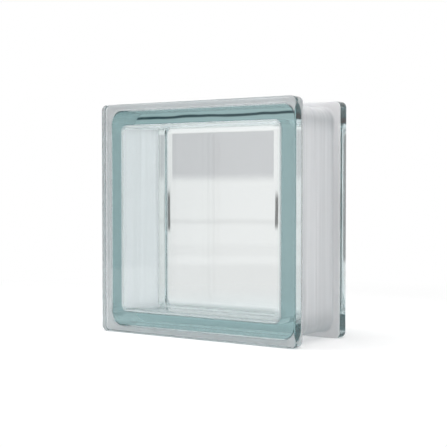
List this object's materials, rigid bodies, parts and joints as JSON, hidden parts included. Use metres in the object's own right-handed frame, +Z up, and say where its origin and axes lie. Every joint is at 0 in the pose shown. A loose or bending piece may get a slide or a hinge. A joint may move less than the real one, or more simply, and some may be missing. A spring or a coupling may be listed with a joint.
{
  "type": "glass block",
  "caption": "Clear hollow square glass building block with flat panes, raised rims and a white-coated mortar channel round its edges.",
  "frame": {"origin": "on the floor, under the middle of the block", "axes": "+Z up, +X along the width, +Y from the front pane to the back pane; the front pane looks along -Y"},
  "size_m": [0.19, 0.08, 0.19],
  "materials": {
    "glass": "clear pressed soda-lime glass, fire-polished, slightly green at the edges",
    "coating": "thin white sprayed edge coat, matt"
  },
  "bodies": {
    "root": {"glass_body": "glass", "edge_coating": "coating"}
  },
  "joints": []
}
